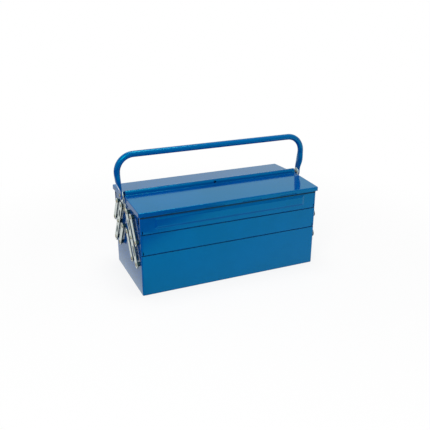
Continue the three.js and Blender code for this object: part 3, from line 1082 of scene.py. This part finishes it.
# Handle: one tube, bent at both corners, its ends pressed flat
handleLook = {
    "radius": 0.007,
    "segments": 32,
    "bend": 0.038,
    "bendSteps": 14,
    "flat": 0.003,
    "flatHalf": 0.010,
    "flatTop": 0.007,
    "taper": 0.0458,
    "taperSteps": 16,
    "widenBy": 0.45,
    "squash": (0.22, 0.0, 0.5),  # share of the pressing, and from where to where on the taper
    "press": (0.78, 0.42, 1.0),
    "squareness": 3,
    "endSteps": 8,
    "endTurn": 86,
    "sharpFrom": 60,
}


def makeHandle(look):
    high = cornersOf("handle")[1]
    pivot = centreOf("right_handle_rivet")
    radius = look["radius"]
    axisX = high.x - radius
    barZ = high.z - radius
    bendX = axisX - look["bend"]
    bm = bmesh.new()
    ring = bmesh.ops.create_circle(
        bm,
        cap_ends=False,
        radius=radius,
        segments=look["segments"],
        matrix=Matrix.Translation((0, pivot.y, barZ)) @ Matrix.Rotation(math.pi / 2, 4, "Y"),
    )["verts"]
    edges = edgesOf(ring)
    for x in (axisX / 3, axisX * 2 / 3, bendX):
        edges = grow(bm, edges, lambda place: Vector((x, place.y, place.z)))
    spun = bmesh.ops.spin(
        bm,
        geom=edges,
        cent=(bendX, pivot.y, barZ - look["bend"]),
        axis=(0, 1, 0),
        dvec=(0, 0, 0),
        angle=math.pi / 2,
        steps=look["bendSteps"],
        use_merge=False,
        use_duplicate=False,
    )["geom_last"]
    edges = edgesIn(spun)
    turns = {v: math.atan2(v.co.y - pivot.y, v.co.x - axisX) for e in edges for v in e.verts}

    def addRing(edges, height, flatness, halfWidth):  # its inner side stays in one plane
        thickness = radius + (look["flat"] / 2 - radius) * flatness
        power = 2 / (2 + look["squareness"] * flatness)
        old = {v for e in edges for v in e.verts}
        grown = bmesh.ops.extrude_edge_only(bm, edges=edges)["geom"]
        for vert in vertsIn(grown):
            parent = next(e.other_vert(vert) for e in vert.link_edges if e.other_vert(vert) in old)
            turns[vert] = turns[parent]
            across, along = math.cos(turns[vert]), math.sin(turns[vert])
            x = math.copysign(abs(across) ** power, across) * thickness + thickness - radius
            y = math.copysign(abs(along) ** power, along) * halfWidth
            vert.co = (axisX + x, pivot.y + y, height)
        return edgesIn(grown)

    taperTop = pivot.z + look["flatTop"] + look["taper"]
    edges = addRing(edges, taperTop, 0, radius)
    for step in range(1, look["taperSteps"] + 1):
        share = step / look["taperSteps"]
        flatness = sum(
            amount * easedBetween(share, start, end)
            for amount, start, end in (look["squash"], look["press"])
        )
        halfWidth = radius + (look["flatHalf"] - radius) * easedBetween(share, 0, look["widenBy"])
        edges = addRing(edges, taperTop - look["taper"] * share, flatness, halfWidth)
    for step in range(look["endSteps"]):
        turn = math.radians(look["endTurn"]) * step / (look["endSteps"] - 1)
        drop, halfWidth = look["flatHalf"] * math.sin(turn), look["flatHalf"] * math.cos(turn)
        edges = addRing(edges, pivot.z - drop, 1, halfWidth)
    bmesh.ops.holes_fill(bm, edges=edges, sides=0)
    bmesh.ops.mirror(
        bm,
        geom=bm.verts[:] + bm.edges[:] + bm.faces[:],
        matrix=Matrix.Identity(4),
        merge_dist=-1,
        axis="X",
    )
    bmesh.ops.remove_doubles(bm, verts=bm.verts, dist=same)
    bmesh.ops.recalc_face_normals(bm, faces=bm.faces)
    fit(sheetObject(bm, "handle", handleEnamel), ["handle"], look["sharpFrom"])


makeHandle(handleLook)
print("handle bent")


# Brackets: a stepped strip from the rear upper tray to an ear beside the handle
bracketLook = {
    "ear": 0.0095,
    "earSteps": 16,
    "neck": 0.002,
    "taper": 0.004,
    "margin": 0.003,
    "inset": 0.0011,
    "bendDrop": 0.0075,
    "bendSteps": 8,
    "edge": 0.0003,
    "edgeAngle": 50,
}


def makeBracket(end, endSign, look):
    low, high = cornersOf("right_handle_bracket")
    pivot = centreOf("right_handle_rivet")
    arm = centreOf("rear_right_top_long_rivet")
    skirtZ = hingeLine("rear")[0].z - hingeLook["gap"]
    bendZ = skirtZ - look["bendDrop"]
    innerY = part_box("rear_top_tray")[0][1] + look["inset"]
    outerY = arm.y + rivetLook["head"] + look["margin"]
    outline = [
        (innerY, low.z),
        (outerY - look["margin"], low.z),
        (outerY, low.z + look["margin"]),
        (outerY, arm.z),
        (outerY - look["taper"], bendZ),
        (pivot.y + look["ear"] - look["neck"], bendZ),
    ]
    for step in range(look["earSteps"] + 1):
        turn = math.pi * step / look["earSteps"]
        outline.append(
            (pivot.y + look["ear"] * math.cos(turn), pivot.z + look["ear"] * math.sin(turn))
        )
    outline.append((innerY, bendZ))
    bm = bmesh.new()
    bm.faces.new([bm.verts.new((high.x, y, z)) for y, z in outline])
    for step in range(look["bendSteps"] + 1):
        bmesh.ops.bisect_plane(
            bm,
            geom=bm.verts[:] + bm.edges[:] + bm.faces[:],
            dist=same,
            plane_co=(0, 0, bendZ + look["bendDrop"] * step / look["bendSteps"]),
            plane_no=(0, 0, 1),
        )
    footX = low.x + stripPlate
    for vert in bm.verts:
        vert.co.x = footX + (high.x - footX) * easedBetween(vert.co.z, bendZ, skirtZ)
    bmesh.ops.recalc_face_normals(bm, faces=bm.faces)
    if bm.faces[:][0].normal.x < 0:
        bmesh.ops.reverse_faces(bm, faces=bm.faces)
    toQuarter(bm, endSign, 1)
    made = sheetObject(bm, f"{end}HandleBracket", armZinc)
    thicken(made, stripPlate)
    soften(made, look["edge"], look["edgeAngle"])
    fit(made, [f"{end}_handle_bracket"])


for end, endSign in endSigns.items():
    makeBracket(end, endSign, bracketLook)
print("brackets pressed")


# Stage: white floor that keeps a soft shadow and glows in gloss with a painted reflection, studio
# light, and the camera
floorLook = {
    "size": 12.0,
    "drop": 0.0003,
    "paint": 0.9,
    "bounce": 0.75,
    "shadow": 0.18,
    "shadowReach": (0.35, 0.9),
    "near": 1.45,  # how bright its glow is in gloss, a painted reflection, on both sides of nearEdge
    "far": 0.25,
    "nearTowards": (0.6, 0.8, 0.0),
    "nearEdge": (-0.45, -0.29),
    "side": 0.46,  # share of that to the left of sideEdge, a painted shadow in the reflections
    "sideEdge": (-0.25, -0.18),
    "steep": 0.12,  # share of that where it is met steeply, a painted darkening of the reflections
    "glance": (0.15, 0.5),
}
skyLook = {
    "bounce": 0.4,
    "low": colour(0.80, 0.90, 0.80),
    "high": colour(0.60, 1.05, 0.88),
    "rise": (0.31, 0.42),
}
lampLooks = [
    {"name": "keySoftbox", "at": (-1.0, -1.5, 1.6), "size": (1.4, 1.2), "power": 22.0},
    {"name": "topSoftbox", "at": (0.1, 0.1, 2.4), "size": (1.4, 0.8), "power": 24.0},
]
lampAim = (0.0, 0.0, 0.12)
cameraLook = {
    "target": (0.00029, 0.0, 0.12106),
    "distance": 1.407,
    "azimuth": -23.99,
    "elevation": 21.66,
    "roll": 0.27,
    "lens": 49.27,
    "sensor": 36,
}


def grey(level):
    return colour(level, level, level)


def rayOn(wire, kind):
    return wire.node("ShaderNodeLightPath", out=f"Is {kind} Ray")


def makeFloor(look):
    bm = bmesh.new()
    bmesh.ops.create_grid(bm, x_segments=1, y_segments=1, size=look["size"] / 2)
    bmesh.ops.translate(bm, vec=(0, 0, -look["drop"]), verts=bm.verts)
    material, place = startFinish("whiteFloor")
    seen = rayOn(place, "Camera")
    apart = place.node("ShaderNodeVectorMath", {"operation": "LENGTH"}, {0: place}, out="Value")
    across = place.node(
        "ShaderNodeVectorMath",
        {"operation": "DOT_PRODUCT"},
        {0: place, 1: look["nearTowards"]},
        out="Value",
    )
    glancing = place.node("ShaderNodeLayerWeight", out="Facing")
    # the glow that gloss sees is a painted reflection: bright near the box, dimmer far off, to the
    # left and where met steeply
    paintedReflection = (
        across.ranged(*look["nearEdge"]).ranged(0, 1, look["far"], look["near"])
        * place.axis("X").ranged(*look["sideEdge"], look["side"], 1.0)
        * glancing.ranged(*look["glance"], look["steep"], 1.0)
    )
    paint = seen.blended(grey(look["bounce"]), grey(look["paint"]))
    matt = place.node("ShaderNodeBsdfDiffuse", {}, {"Color": paint}, out="BSDF")
    white = seen.blended(paintedReflection, grey(1.0))
    glow = place.node("ShaderNodeEmission", {}, {"Color": white, "Strength": 1.0}, out="Emission")
    plain = apart.ranged(*look["shadowReach"], 1 - look["shadow"], 1.0)
    share = (seen * plain).atLeast(rayOn(place, "Glossy")).atLeast(rayOn(place, "Transmission"))
    mixed = place.node("ShaderNodeMixShader", {}, {0: share, 1: matt, 2: glow}, out="Shader")
    place.node("ShaderNodeOutputMaterial", {}, {"Surface": mixed})
    sheetObject(bm, "floor", material)


def makeSky(look):  # white to the camera; in reflections, its colour turns at a low height
    world = bpy.data.worlds.new("studio")
    bpy.context.scene.world = world
    world.use_nodes = True
    world.node_tree.nodes.clear()
    toward = Wire(world.node_tree).node("ShaderNodeTexCoord", out="Generated")
    banded = toward.axis("Z").ranged(*look["rise"]).blended(look["low"], look["high"])
    light = rayOn(toward, "Glossy").blended(grey(look["bounce"]), banded)
    white = rayOn(toward, "Camera").atLeast(rayOn(toward, "Transmission"))
    shown = white.blended(light, grey(1.0))
    shader = toward.node(
        "ShaderNodeBackground", {}, {"Color": shown, "Strength": 1.0}, out="Background"
    )
    toward.node("ShaderNodeOutputWorld", {}, {"Surface": shader})


def makeLamp(lamp):
    data = bpy.data.lights.new(lamp["name"], "AREA")
    data.shape = "RECTANGLE"
    data.size, data.size_y = lamp["size"]
    data.energy = lamp["power"]
    made = bpy.data.objects.new(lamp["name"], data)
    bpy.context.scene.collection.objects.link(made)
    made.location = lamp["at"]
    aim = Vector(lampAim) - Vector(lamp["at"])
    made.rotation_euler = aim.to_track_quat("-Z", "Y").to_euler()


def makeCamera(look):
    azimuth, elevation = math.radians(look["azimuth"]), math.radians(look["elevation"])
    back = Vector(
        (
            math.sin(azimuth) * math.cos(elevation),
            -math.cos(azimuth) * math.cos(elevation),
            math.sin(elevation),
        )
    )
    roll = Matrix.Rotation(math.radians(look["roll"]), 3, "Z")
    data = bpy.data.cameras.new("camera")
    data.sensor_width = look["sensor"]
    data.lens = look["lens"]
    made = bpy.data.objects.new("camera", data)
    bpy.context.scene.collection.objects.link(made)
    made.location = Vector(look["target"]) + back * look["distance"]
    made.rotation_euler = ((-back).to_track_quat("-Z", "Y").to_matrix() @ roll).to_euler()
    bpy.context.scene.camera = made


makeFloor(floorLook)
makeSky(skyLook)
for lamp in lampLooks:
    makeLamp(lamp)
makeCamera(cameraLook)
bpy.context.scene.view_settings.view_transform = "Standard"
print("stage set")
